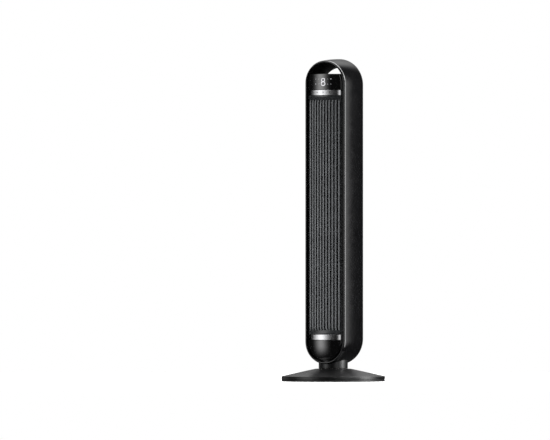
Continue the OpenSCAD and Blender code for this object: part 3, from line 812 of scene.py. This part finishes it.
def make_back(name, z_low, z_high):
    """The dished back between two heights: rounded rim, handle hole, grille window and screw recesses."""
    low, high = BOTTOM_Z + WIDE_W, TOP_Z - WIDE_W
    start_y = REAR_LOW.y

    def dish(inset, extra):
        r = BACK_ROUND - inset
        rings = [pill(start_y - extra, WIDE_W - inset, low, high)]
        for k in range(BACK_STEPS + 1):
            a = math.radians(90 * k / BACK_STEPS)
            y = max(start_y, WIDE_Y + r * math.sin(a))
            rings.append(pill(y, WIDE_W - inset - r * (1 - math.cos(a)), low, high))
        return rings

    obj = make_mesh(name, *join_rings(dish(0.0, 0.0)))
    cutters = [make_mesh("inside", *join_rings(dish(WALL, 1.0)))]
    cutters.append(make_mesh("window", *join_rings([window_outline(0, 20), window_outline(0, 90)])))
    handle = [handle_outline(y, HANDLE_BACK, LINER_T + 0.25) for y in (0, 90)]
    cutters.append(make_mesh("handle", *join_rings(handle)))
    cutters.append(rod("neck_hole", NECK_HOLE_R, NECK_HIGH.z + NECK_CLEAR, 96))
    seat_y = BACK_Y - 1.5
    for x, z in SCREW_SPOTS:
        rings = [circle(r, y, x, z) for y, r in ((30, 2.2), (seat_y, 2.2), (seat_y, 3.9), (80, 3.9))]
        cutters.append(make_mesh("screw_hole", *join_rings(rings)))
    far = 200
    cutters.append(make_mesh("below", *box_part((-far, -far, -far), (far, far, z_low))))
    cutters.append(make_mesh("above", *box_part((-far, -far, z_high), (far, far, 10 * far))))
    cut(obj, *cutters)
    soften(obj, 0.5, 50)
    shade(obj, 30)
    even_shading(obj)
    return obj


REAR_BOW_R = 320.0
REAR_BOW_OUT = 6.0
VENT_FRAME_W = 4.0
VENT_PITCH = 12.0
LOUVRE_STEPS = 8
LOUVRE_SECTION = ((5.0, 3.6), (5.0, 1.6), (0.6, -2.6), (0.0, -2.2), (0.0, -0.4), (0.6, 0.2))
SPINE_W = 4.4


def rear_bow(x):
    """The rear grille's bowed face."""
    return BACK_Y + REAR_BOW_OUT - REAR_BOW_R + math.sqrt(REAR_BOW_R ** 2 - x * x)


def make_rear_frame():
    """The bowed frame of the rear grille with its upright spine."""
    def bowed(grow, below):
        return [(x, rear_bow(x) - below, z) for x, _, z in window_outline(grow, 0.0)]

    inner_y = BACK_Y - 4
    outer, inner = -VENT_GAP, -VENT_FRAME_W
    rings = [window_outline(outer, inner_y), bowed(outer, 0.8), bowed(outer - 0.8, 0.0)]
    rings += [bowed(inner + 0.4, 0.0), bowed(inner, 0.4), window_outline(inner, inner_y)]
    parts = [join_rings(rings, closed_sweep=True)]
    low, high = REAR_WIN_LOW + 3.6, REAR_WIN_HIGH - 3.6
    parts.append(box_part((-SPINE_W / 2, BACK_Y + 0.5, low), (SPINE_W / 2, rear_bow(0) - 0.2, high)))
    return make_mesh("rear_grille_frame", *merged(parts), 40)


def make_rear_louvres():
    """Louvres that follow the bow and slope down towards the outside."""
    count = int((REAR_WIN_HIGH - REAR_WIN_LOW - 12) / VENT_PITCH)
    start = (REAR_WIN_LOW + REAR_WIN_HIGH) / 2 - (count - 1) / 2 * VENT_PITCH
    parts = []
    for k in range(count):
        z = start + k * VENT_PITCH
        into_corner = max(0.0, REAR_WIN_LOW + REAR_CORNER - z, z - (REAR_WIN_HIGH - REAR_CORNER))
        half = REAR_W - REAR_CORNER + math.sqrt(max(REAR_CORNER ** 2 - into_corner ** 2, 0.0)) - 3.8
        rings = []
        for i in range(2 * LOUVRE_STEPS + 1):
            x = half * (i / LOUVRE_STEPS - 1)
            face = rear_bow(x) - 0.8
            rings.append([(x, face - behind, z + up) for behind, up in LOUVRE_SECTION])
        parts.append(join_rings(rings))
    return make_mesh("rear_louvres", *merged(parts), 50)


def make_rear_screws():
    """Pan-head screws with a cross recess, in the rear cover's recesses."""
    # Depth below the back's face and radius, from the shank's tip to the head's crown
    turned = ((18, 1.9), (1.45, 1.9), (1.45, 3.5), (0.9, 3.6), (0.35, 3.1), (0.12, 2.2))
    parts = [join_rings([circle(r, BACK_Y - below, x, z) for below, r in turned]) for x, z in SCREW_SPOTS]
    obj = make_mesh("rear_screw_heads", *merged(parts), 40)
    cutters = []
    for half_x, half_z in ((1.7, 0.35), (0.35, 1.7)):
        slots = []
        for x, z in SCREW_SPOTS:
            low = (x - half_x, BACK_Y - 1.0, z - half_z)
            slots.append(box_part(low, (x + half_x, BACK_Y + 1.0, z + half_z)))
        cutters.append(make_mesh("recess", *merged(slots)))
    cut(obj, *cutters)
    shade(obj, 40)
    return obj


# ---- base and neck ----

def make_base_cover():
    """The cone with its upright rim and deck."""
    r = COVER_HIGH.x
    deck_z = COVER_HIGH.z
    outer = [(DECK_HOLE_R, deck_z - WALL), (DECK_HOLE_R, deck_z), (DECK_R, deck_z), (r, RIM_TOP_Z),
             (r, SEAM_Z), (r - WALL, SEAM_Z)]
    inner = [(r - WALL, RIM_TOP_Z - 2.4), (DECK_R + 1, deck_z - WALL - 0.6), (DECK_R - 3, deck_z - WALL)]
    radii = [0, 0.6, 3.0, 1.3, 0.8, 0]
    profile = rounded(outer, radii, 8) + inner
    obj = lathe("base_cone", profile, 256)
    gland_z = (GLAND_LOW.z + GLAND_HIGH.z) / 2
    rings = [circle(GLAND_HOLE_R, y, 0.0, gland_z) for y in (r - 20, r + 10)]
    cut(obj, make_mesh("gland_hole", *join_rings(rings)))
    shade(obj, 30)
    return obj


def recesses(ring_r, count, first_angle, hole, segments):
    """Round recesses of a (radius, height), evenly spaced on a ring."""
    out = []
    for k in range(count):
        a = math.radians(first_angle + 360 / count * k)
        out.append(rod("recess", *hole, segments, (ring_r * math.cos(a), ring_r * math.sin(a))))
    return out


def make_base_skirt():
    """The visible edge of the base plate below the seam, with its underside."""
    r = PLATE_HIGH.x
    low = PLATE_LOW.z
    top = SEAM_Z - SEAM_GAP
    step_r, ledge_r = r - 3.4, r - 6.0
    edge = [(0.0, low), (ledge_r, low), (r - 4.5, SKIRT_LOW), (r, SKIRT_LOW), (r, top),
            (step_r, top), (step_r, 10.0), (ledge_r, 10.0), (ledge_r, 5.5), (0.0, 5.5)]
    radii = [0, 0.6, 0.4, 0.5, 0.5, 0, 0.4, 0.4, 0, 0]
    obj = lathe("base_underside", rounded(edge, radii, 4), 256)
    cutters = recesses(FEET_R, 6, 0, FOOT_HOLE, 48)
    cutters += recesses(BASE_SCREWS_R, 4, 45, BASE_SCREW_HOLE, 32)
    cut(obj, *cutters)
    shade(obj, 30)
    return obj


def make_neck():
    """The neck tube, with a soft lower edge above the deck."""
    r, low, high = NECK_HIGH.x, NECK_LOW.z, NECK_HIGH.z
    inner_r = r - NECK_WALL
    profile = rounded([(inner_r, high), (inner_r, low), (r, low), (r, high)], [0, 0.5, 1.0, 0], 5)
    return lathe("neck_tube", profile, 160)


# ---- materials ----

def principled(name, **settings):
    """A new material with its principled shader's own sockets set."""
    material = bpy.data.materials.new(name)
    material.use_nodes = True
    shader = material.node_tree.nodes["Principled BSDF"]
    for key, value in settings.items():
        socket = shader.inputs[key.replace("_", " ")]
        socket.default_value = (*value, 1.0) if isinstance(value, tuple) else value
    return material, material.node_tree, shader


def noise(tree, scale, detail, stretch=(1, 1, 1)):
    """A noise texture in object space, in cycles per metre, stretched along an axis."""
    coordinates = tree.nodes.new("ShaderNodeTexCoord")
    mapping = tree.nodes.new("ShaderNodeMapping")
    mapping.inputs["Scale"].default_value = stretch
    texture = tree.nodes.new("ShaderNodeTexNoise")
    texture.inputs["Scale"].default_value = scale
    texture.inputs["Detail"].default_value = detail
    tree.links.new(coordinates.outputs["Object"], mapping.inputs["Vector"])
    tree.links.new(mapping.outputs["Vector"], texture.inputs["Vector"])
    return texture.outputs["Fac"]


def map_range(tree, value, first, last, to_first, to_last, kind="LINEAR"):
    """A value mapped from one range to another."""
    node = tree.nodes.new("ShaderNodeMapRange")
    node.interpolation_type = kind
    node.inputs["From Min"].default_value = first
    node.inputs["From Max"].default_value = last
    node.inputs["To Min"].default_value = to_first
    node.inputs["To Max"].default_value = to_last
    tree.links.new(value, node.inputs["Value"])
    return node.outputs["Result"]


def math_node(tree, operation, first, second=None, third=None):
    """One maths node fed by numbers or by other nodes' outputs."""
    node = tree.nodes.new("ShaderNodeMath")
    node.operation = operation
    for socket, value in zip(node.inputs, (first, second, third)):
        if value is None:
            continue
        if isinstance(value, (int, float)):
            socket.default_value = value
        else:
            tree.links.new(value, socket)
    return node.outputs["Value"]


def drift(tree, value, first, last, dark, light, socket):
    """Feeds a colour that drifts between two tones into a socket, as a value goes from first to last."""
    node = tree.nodes.new("ShaderNodeValToRGB")
    for element, place_at, tone in zip(node.color_ramp.elements, (first, last), (dark, light)):
        element.position = place_at
        element.color = (*tone, 1.0)
    tree.links.new(value, node.inputs["Fac"])
    tree.links.new(node.outputs["Color"], socket)


def uneven(tree, shader, value, rough):
    """Roughness that drifts over a (low, high) range."""
    tree.links.new(map_range(tree, value, 0.3, 0.7, *rough), shader.inputs["Roughness"])


def bump(tree, shader, value, strength, distance):
    """Relief of a depth in metres."""
    node = tree.nodes.new("ShaderNodeBump")
    node.inputs["Strength"].default_value = strength
    node.inputs["Distance"].default_value = distance
    tree.links.new(value, node.inputs["Height"])
    tree.links.new(node.outputs["Normal"], shader.inputs["Normal"])


TONE_SCALE = 9.0
SHEEN_SCALE = 42.0
METAL_GRAIN_DEPTH = 0.00002


def moulded(name, dark, light, rough, grain, grain_depth, strength, **settings):
    """Moulded plastic: close tones, uneven sheen and a fine surface grain."""
    material, tree, shader = principled(name, **settings)
    drift(tree, noise(tree, TONE_SCALE, 3.0), 0.35, 0.65, dark, light, shader.inputs["Base Color"])
    uneven(tree, shader, noise(tree, SHEEN_SCALE, 4.0), rough)
    bump(tree, shader, noise(tree, grain, 3.0), strength, grain_depth)
    return material


def metal(name, dark, light, rough, upright, scale, strength):
    """Metal with a fine grain, which the upright stretch turns into level lines."""
    material, tree, shader = principled(name, Metallic=1.0)
    lines = noise(tree, scale, 4.0, (1, 1, upright))
    drift(tree, lines, 0.35, 0.65, dark, light, shader.inputs["Base Color"])
    uneven(tree, shader, lines, rough)
    bump(tree, shader, lines, strength, METAL_GRAIN_DEPTH)
    return material


def lit(name, colour, strength):
    """Lit display segments: an even glow that a diffuser film makes slightly cloudy."""
    material, tree, shader = principled(name, Base_Color=colour, Roughness=0.4, Emission_Strength=strength)
    dimmer = tuple(0.82 * c for c in colour)
    drift(tree, noise(tree, 260.0, 2.0), 0.3, 0.7, dimmer, colour, shader.inputs["Emission Color"])
    bump(tree, shader, noise(tree, 700.0, 2.0), 0.1, 0.00001)
    return material


# Plastics: darker and lighter tone, roughness, grain in cycles per metre, its depth in metres and strength
SHELL = moulded("shell_black", (0.0022, 0.0022, 0.0026), (0.0034, 0.0034, 0.0038), (0.14, 0.19),
                700.0, 0.000006, 0.1, Specular_IOR_Level=0.7)
REAR = moulded("rear_black", (0.0075, 0.0075, 0.0082), (0.0095, 0.0095, 0.0103), (0.46, 0.56),
               520.0, 0.00006, 0.5)
BASE = moulded("base_black", (0.0026, 0.0026, 0.003), (0.0036, 0.0036, 0.004), (0.38, 0.43),
               640.0, 0.00001, 0.15, Specular_IOR_Level=0.55)
PIANO = moulded("piano_black", (0.0022, 0.0022, 0.0024), (0.003, 0.003, 0.0032), (0.1, 0.14),
                300.0, 0.000003, 0.1, Coat_Weight=1.0, Coat_Roughness=0.06)
GRILLE = moulded("grille_grey", (0.026, 0.028, 0.03), (0.034, 0.036, 0.038), (0.22, 0.28),
                 800.0, 0.00002, 0.2)
# Slats: partly their own grey plastic and partly painted sheen. The tone is raised well above the frame's to
# stand in for the highlights on their noses.
SLAT_GREY_AND_SHEEN = moulded("slat_grey_and_painted_sheen", (0.125, 0.131, 0.137), (0.15, 0.157, 0.164), (0.24, 0.3),
               800.0, 0.00001, 0.15)
INNER = moulded("inner_black", (0.008, 0.008, 0.009), (0.012, 0.012, 0.013), (0.5, 0.62),
                500.0, 0.00005, 0.4)
IMPELLER = moulded("impeller_grey", (0.012, 0.013, 0.015), (0.018, 0.019, 0.021), (0.42, 0.52),
                   600.0, 0.00004, 0.3)
ACETAL = moulded("acetal", (0.70, 0.67, 0.58), (0.78, 0.75, 0.66), (0.32, 0.42), 700.0, 0.00002, 0.2)
RUBBER = moulded("rubber_black", (0.008, 0.008, 0.008), (0.014, 0.014, 0.014), (0.7, 0.85),
                 450.0, 0.00008, 0.6)
BOARD = moulded("solder_mask", (0.006, 0.07, 0.026), (0.01, 0.1, 0.04), (0.3, 0.45), 400.0, 0.00005, 0.4)
LED_BODY = moulded("led_body", (0.035, 0.035, 0.037), (0.05, 0.05, 0.052), (0.4, 0.5),
                   600.0, 0.00004, 0.3)
MARK = moulded("etched_mark", (0.05, 0.05, 0.053), (0.075, 0.075, 0.078), (0.45, 0.55),
               900.0, 0.00002, 0.2)

# Metals: darker and lighter tone, roughness, upright stretch, grain in cycles per metre, its strength
SILVER = metal("silver_trim", (0.45, 0.45, 0.46), (0.52, 0.52, 0.53), (0.23, 0.28), 40, 60.0, 0.15)
ZINC = metal("zinc_steel", (0.42, 0.43, 0.45), (0.56, 0.56, 0.58), (0.3, 0.45), 1, 120.0, 0.3)
SPRING = metal("spring_steel", (0.09, 0.09, 0.1), (0.14, 0.14, 0.15), (0.35, 0.5), 1, 140.0, 0.3)
GROUND = metal("shaft_steel", (0.52, 0.52, 0.54), (0.62, 0.62, 0.64), (0.2, 0.32), 30, 90.0, 0.2)
ALUMINIUM = metal("hub_aluminium", (0.6, 0.6, 0.62), (0.7, 0.7, 0.72), (0.28, 0.4), 30, 90.0, 0.2)
IRON = metal("ballast_iron", (0.05, 0.05, 0.052), (0.08, 0.08, 0.082), (0.6, 0.75), 1, 150.0, 0.7)
BRONZE = metal("sintered_bronze", (0.40, 0.27, 0.11), (0.5, 0.35, 0.16), (0.4, 0.55), 1, 300.0, 0.5)

LIT_WHITE = lit("lit_white", (0.5, 0.5, 0.52), 1.1)
LIT_SOFT = lit("lit_soft", (0.3, 0.3, 0.32), 0.9)

BY_SLOT = {
    "shell_plastic": SHELL, "rear_plastic": REAR, "base_plastic": BASE, "piano_black": PIANO,
    "silver_trim": SILVER, "grille_plastic": GRILLE, "inner_plastic": INNER, "impeller_plastic": IMPELLER,
    "gear_plastic": ACETAL, "rubber": RUBBER, "zinc_steel": ZINC, "spring_steel": SPRING,
    "shaft_steel": GROUND, "hub_aluminium": ALUMINIUM, "ballast_iron": IRON, "bronze": BRONZE,
    "circuit_board": BOARD, "led_module": LED_BODY,
}


def dress_cad_nodes():
    """Gives every CAD node the material of its slot. The ones that a piece replaces are hidden later."""
    for part in frame["record"]["subparts"]:
        mesh = frame["nodes"][part["node"]].data
        mesh.materials.clear()
        mesh.materials.append(BY_SLOT[part["material_slot"]])


# ---- the object ----

def build():
    """Makes every visual piece and puts it on its body."""
    dress_cad_nodes()
    place(make_casing(), "tower", "shell_plastic", SHELL, "outer_shell")
    place(make_handle_liner(), "tower", "rear_plastic", REAR, "handle_liner")
    place(make_display(), "tower", "piano_black", PIANO, "display_lens")
    place(make_trim("control_strip", BAND_LOW, BAND_HIGH), "tower", "silver_trim", SILVER, "control_band")
    place(make_trim("lower_strip", LOWER_LOW, LOWER_HIGH), "tower", "silver_trim", SILVER, "lower_band")
    place(make_dome(), "tower", "piano_black", PIANO, "lower_dome")
    place(make_grille_frame(), "tower", "grille_plastic", GRILLE, "front_grille")
    place(make_slats(), "tower", "grille_plastic", SLAT_GREY_AND_SHEEN, "front_grille")
    place(make_digit(), "tower", "led_module", LIT_WHITE)
    place(make_icons(), "tower", "led_module", LIT_SOFT)
    place(make_touch_marks(), "tower", "piano_black", MARK)
    rear_shell = make_back("rear_shell", 0, SURROUND_LOW.z - SEAM_GAP)
    place(rear_shell, "tower", "rear_plastic", REAR, "rear_cover")
    handle_bezel = make_back("handle_bezel", SURROUND_LOW.z, TOP_Z + 120)
    place(handle_bezel, "tower", "rear_plastic", REAR, "handle_surround")
    place(make_rear_frame(), "tower", "rear_plastic", REAR, "rear_grille")
    place(make_rear_louvres(), "tower", "rear_plastic", REAR, "rear_grille")
    place(make_rear_screws(), "tower", "zinc_steel", ZINC, "rear_screws")
    place(make_neck(), "tower", "base_plastic", BASE, "neck_collar")
    place(make_base_cover(), "base", "base_plastic", BASE, "base_cover")
    place(make_base_skirt(), "base", "rear_plastic", REAR, "base_plate")


# ---- floor, light and camera ----

# Camera: direction in degrees, distance and width of the view in metres, sensor in millimetres, aim in metres
AZIMUTH = 28.3
ELEVATION = 0.2
DISTANCE = 40.0
VIEW_WIDTH = 1.8436
SENSOR = 36.0
AIM_HEIGHT = 0.5405
AIM_LEFT = 0.1952

# Lamps of the light room: azimuth (0 ahead of the outlet, 90 at its right side), half width and soft edge
# in degrees, lowest and highest elevation of the full light, soft edge in elevation, strength.
LAMPS = [
    (-34.5, 0.0, 31.0, -8.0, 40.0, 24.0, 3.6),
    (59.0, 4.0, 18.0, -6.0, 20.0, 14.0, 2.0),
    (105.0, 2.0, 10.0, -16.0, 26.0, 9.0, 8.6),
    (112.0, 3.0, 25.0, -15.0, 26.0, 9.0, 5.6),
    (-110.0, 10.0, 24.0, -20.0, 20.0, 20.0, 0.3),
    (-160.0, 12.0, 34.0, 40.0, 65.0, 44.0, 1.2),
    (-160.0, 5.0, 14.0, 8.0, 16.0, 6.0, 0.18),
]

# A hoop of light behind the object, for the bright line along the casing's front edge: axis, angle from it,
# half width and soft edge in degrees, strength at its left and right side, lowest elevation with soft edge.
# The strength grows over a span of the sideways direction.
HOOP_AXIS = (0.232, 0.970, 0.082)
HOOP = (57.5, 4.0, 7.0, 0.45, 19.0, 18.0, 12.0)
HOOP_SPAN = (-0.5, 0.4)
ZENITH = 91.0

# Glow from above: lowest elevation and soft edge in degrees, strength
TOP_GLOW = (75.0, 30.0, 0.9)
ROOM_GLOW = 0.03
FLOOR_R = 2.2
FLOOR_GLOW = 0.62


def make_floor():
    """A pale floor that fades into the white room towards its edge."""
    ring = [(x, y, 0.0) for x, y in disc(0, 0, FLOOR_R, 96)]
    mesh = bpy.data.meshes.new("floor")
    mesh.from_pydata(ring, [], [tuple(range(len(ring)))])
    obj = new_object("floor", mesh)
    material, tree, shader = principled("pale_floor", Base_Color=(0.82, 0.82, 0.82), Roughness=0.7)
    path = tree.nodes.new("ShaderNodeLightPath")
    glow = math_node(tree, "MULTIPLY", path.outputs["Is Camera Ray"], FLOOR_GLOW)
    shader.inputs["Emission Color"].default_value = (1, 1, 1, 1)
    tree.links.new(glow, shader.inputs["Emission Strength"])
    where = tree.nodes.new("ShaderNodeNewGeometry")
    length = tree.nodes.new("ShaderNodeVectorMath")
    length.operation = "LENGTH"
    tree.links.new(where.outputs["Position"], length.inputs[0])
    reach = length.outputs["Value"]
    fade = map_range(tree, reach, 0.5 * FLOOR_R, 0.98 * FLOOR_R, 1.0, 0.0, "SMOOTHSTEP")
    tree.links.new(fade, shader.inputs["Alpha"])
    mesh.materials.append(material)
    obj.visible_glossy = False


def soft_window(tree, value, low, high, soft):
    """1 between low and high, falling smoothly to 0 over the soft width outside them."""
    middle, half = (low + high) / 2, (high - low) / 2
    away = math_node(tree, "ABSOLUTE", math_node(tree, "SUBTRACT", value, middle))
    light = map_range(tree, away, half, half + soft, 1.0, 0.0, "SMOOTHSTEP")
    return math_node(tree, "POWER", light, 2.0)


def add_lamps(tree, azimuth, elevation, total):
    """Adds the light of every lamp to the total."""
    for centre, half, soft, low, high, edge, strength in LAMPS:
        turned = math_node(tree, "WRAP", math_node(tree, "SUBTRACT", azimuth, centre), 180.0, -180.0)
        across = soft_window(tree, turned, -half, half, soft)
        upright = soft_window(tree, elevation, low, high, edge)
        lamp = math_node(tree, "MULTIPLY", across, upright)
        total = math_node(tree, "MULTIPLY_ADD", lamp, strength, total)
    return total


def add_hoop(tree, direction, sideways, elevation, total):
    """Adds the hoop's light to the total. It grows from the hoop's left to its right side."""
    angle, half, soft, left_strength, right_strength, low, edge = HOOP
    dot = tree.nodes.new("ShaderNodeVectorMath")
    dot.operation = "DOT_PRODUCT"
    dot.inputs[1].default_value = HOOP_AXIS
    tree.links.new(direction, dot.inputs[0])
    off_axis = math_node(tree, "DEGREES", math_node(tree, "ARCCOSINE", dot.outputs["Value"]))
    hoop = soft_window(tree, off_axis, angle - half, angle + half, soft)
    hoop = math_node(tree, "MULTIPLY", hoop, soft_window(tree, elevation, low, ZENITH, edge))
    strength = map_range(tree, sideways, *HOOP_SPAN, left_strength, right_strength)
    return math_node(tree, "MULTIPLY_ADD", hoop, strength, total)


def make_world():
    """A light room: soft lamps round the object and a glow from above. The camera sees plain white."""
    world = bpy.data.worlds.new("studio")
    bpy.context.scene.world = world
    world.use_nodes = True
    tree = world.node_tree
    tree.nodes.clear()
    direction = tree.nodes.new("ShaderNodeTexCoord").outputs["Generated"]
    split = tree.nodes.new("ShaderNodeSeparateXYZ")
    tree.links.new(direction, split.inputs["Vector"])
    ahead = math_node(tree, "MULTIPLY", split.outputs["Y"], -1.0)
    azimuth = math_node(tree, "DEGREES", math_node(tree, "ARCTAN2", split.outputs["X"], ahead))
    elevation = math_node(tree, "DEGREES", math_node(tree, "ARCSINE", split.outputs["Z"]))
    low, edge, strength = TOP_GLOW
    glow = math_node(tree, "MULTIPLY", soft_window(tree, elevation, low, ZENITH, edge), strength)
    total = math_node(tree, "ADD", glow, ROOM_GLOW)
    total = add_lamps(tree, azimuth, elevation, total)
    total = add_hoop(tree, direction, split.outputs["X"], elevation, total)
    room = tree.nodes.new("ShaderNodeBackground")
    tree.links.new(total, room.inputs["Strength"])
    seen = tree.nodes.new("ShaderNodeBackground")
    seen.inputs["Color"].default_value = (1, 1, 1, 1)
    path = tree.nodes.new("ShaderNodeLightPath")
    mix = tree.nodes.new("ShaderNodeMixShader")
    out = tree.nodes.new("ShaderNodeOutputWorld")
    tree.links.new(path.outputs["Is Camera Ray"], mix.inputs["Fac"])
    tree.links.new(room.outputs["Background"], mix.inputs[1])
    tree.links.new(seen.outputs["Background"], mix.inputs[2])
    tree.links.new(mix.outputs["Shader"], out.inputs["Surface"])


def make_camera():
    """A long lens, nearly level, some way round to the right of the front."""
    camera = bpy.data.cameras.new("camera")
    camera.sensor_width = SENSOR
    camera.lens = SENSOR * DISTANCE / VIEW_WIDTH
    camera.clip_end = 200
    obj = new_object("camera", camera)
    a, e = math.radians(AZIMUTH), math.radians(ELEVATION)
    right = Vector((math.cos(a), math.sin(a), 0))
    away = Vector((math.sin(a) * math.cos(e), -math.cos(a) * math.cos(e), math.sin(e)))
    obj.location = Vector((0, 0, AIM_HEIGHT)) - right * AIM_LEFT + away * DISTANCE
    obj.rotation_euler = (-away).to_track_quat("-Z", "Y").to_euler()
    bpy.context.scene.camera = obj


build()
make_floor()
make_world()
make_camera()
bpy.context.scene.view_settings.view_transform = "Standard"
